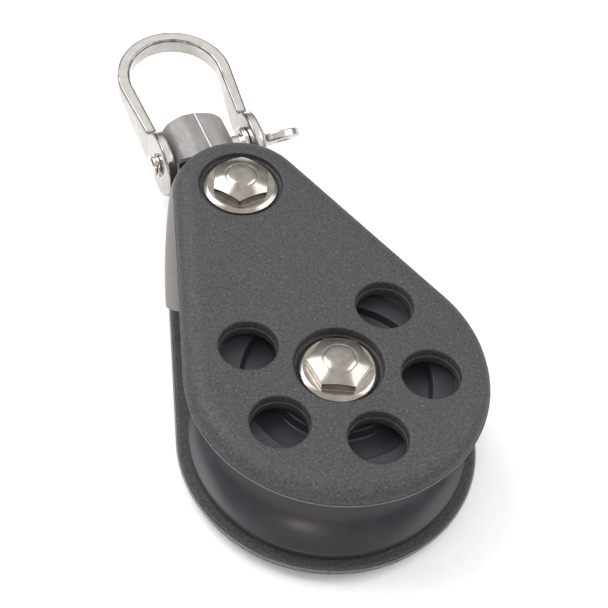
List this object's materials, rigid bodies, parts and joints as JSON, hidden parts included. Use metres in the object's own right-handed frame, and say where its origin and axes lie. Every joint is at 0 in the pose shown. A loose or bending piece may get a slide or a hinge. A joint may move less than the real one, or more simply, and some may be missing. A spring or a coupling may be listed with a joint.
{
  "type": "single sheave block",
  "caption": "Rope block with teardrop cheeks, a grooved sheave on a bolted axle, a swivel head and a screw-pin bow shackle.",
  "frame": {"origin": "centre of the sheave, on the axle's axis and midway between the cheeks", "axes": "+Z along the axle and out of the front cheek, where the bolt heads are; +Y along the block from the axle to the head bolt; +X to the right seen from the front"},
  "size_m": [0.0586, 0.1332, 0.031],
  "materials": {
    "moulded_plastic": "matt, finely grained, glass-filled nylon",
    "sheave_plastic": "smooth, low sheen acetal",
    "bearing_plastic": "smooth bearing plastic",
    "polished_steel": "polished stainless steel",
    "satin_steel": "satin brushed stainless steel"
  },
  "bodies": {
    "block": {"front_cheek": "moulded_plastic", "back_cheek": "moulded_plastic", "axle_bolt": "polished_steel", "axle_nut": "satin_steel", "axle_sleeve": "satin_steel", "front_thrust_washer": "bearing_plastic", "back_thrust_washer": "bearing_plastic", "head_bolt": "polished_steel", "head_nut": "satin_steel", "head_sleeve": "satin_steel"},
    "sheave": {"sheave": "sheave_plastic", "sheave_bush": "bearing_plastic"},
    "head": {"trunnion": "satin_steel", "head_saddle": "satin_steel", "bearing_plate": "bearing_plastic"},
    "swivel": {"swivel_head": "satin_steel", "swivel_washer": "satin_steel", "swivel_nut": "satin_steel", "swivel_lock_pin": "polished_steel"},
    "shackle": {"shackle_bow": "polished_steel", "pin_washer": "polished_steel"},
    "pin": {"shackle_pin": "polished_steel"}
  },
  "joints": [
    {"name": "sheave_spin", "type": "hinge", "parent": "block", "child": "sheave", "pos_m": [0, 0, 0], "axis": [0, 0, 1], "continuous": true},
    {"name": "head_tilt", "type": "hinge", "parent": "block", "child": "head", "pos_m": [0, 0.0476, 0], "axis": [0, 0, 1], "range_deg": [-6.7, 9.3]},
    {"name": "head_swivel", "type": "hinge", "parent": "head", "child": "swivel", "pos_m": [0, 0.0476, 0], "axis": [0.0227, 0.9997, 0], "continuous": true},
    {"name": "shackle_swing", "type": "hinge", "parent": "swivel", "child": "shackle", "pos_m": [0.00211, 0.06996, 0], "axis": [0.9997, -0.0227, 0], "range_deg": [-109, 97]},
    {"name": "pin_draw", "type": "slide", "parent": "shackle", "child": "pin", "axis": [0.9997, -0.0227, 0], "range_m": [0, 0.026]}
  ]
}
